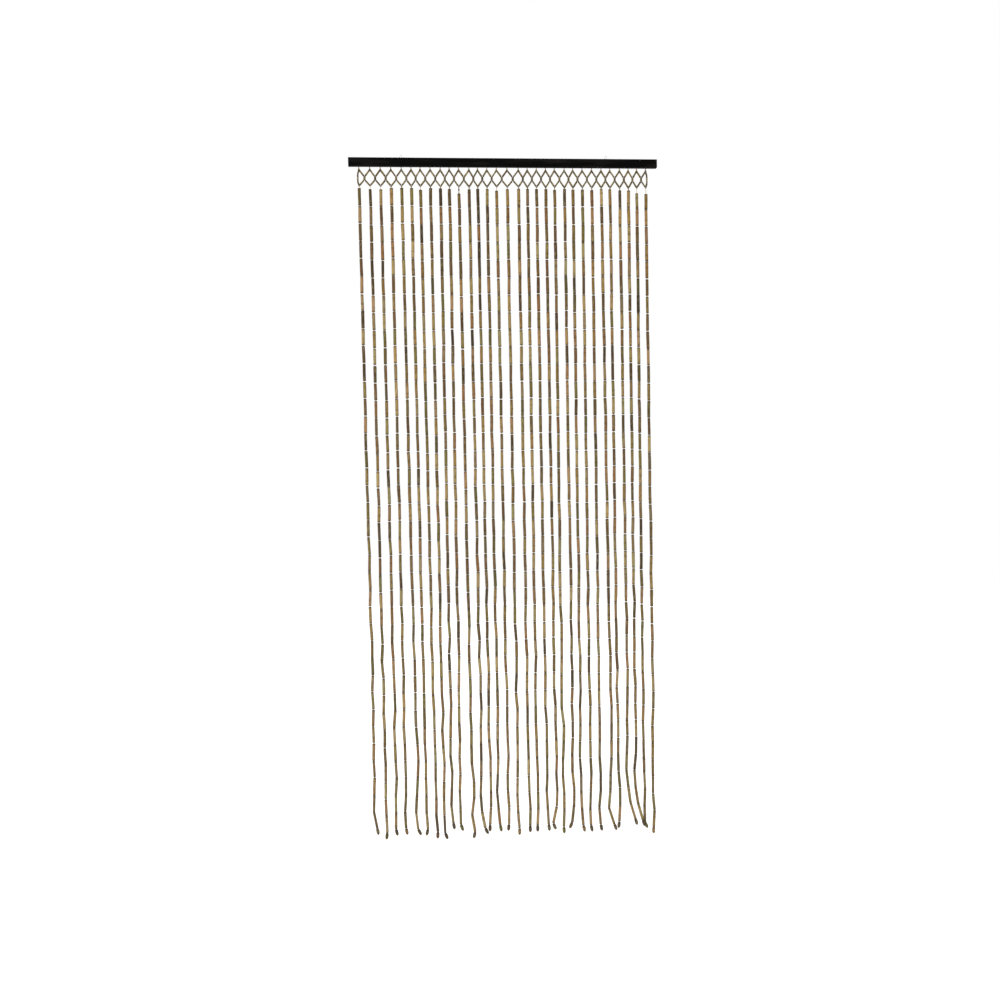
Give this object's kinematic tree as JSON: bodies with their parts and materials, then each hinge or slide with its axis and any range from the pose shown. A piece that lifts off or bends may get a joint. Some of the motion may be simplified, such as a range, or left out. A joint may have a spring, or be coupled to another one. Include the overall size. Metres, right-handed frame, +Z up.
{
  "type": "bamboo door curtain on its rail",
  "caption": "Door curtain of bamboo tubes threaded on cords, which hang from a row of small diamonds under a black wooden rail with screw eyes.",
  "frame": {"origin": "the middle of the rail's back face, which lies against the wall or the door's head", "axes": "+Z up, +Y into the wall, +X to the right seen from the front"},
  "size_m": [0.9, 0.0196, 2.0091],
  "materials": {
    "black_paint": "black satin paint on wood",
    "bright_steel": "bright zinc-plated steel wire",
    "bamboo": "natural bamboo, khaki, tan and brown, semi-matt"
  },
  "bodies": {
    "root": {"rail": "black_paint", "screw_eye_left": "bright_steel", "screw_eye_right": "bright_steel", "net_and_strands": "bamboo"}
  },
  "joints": []
}
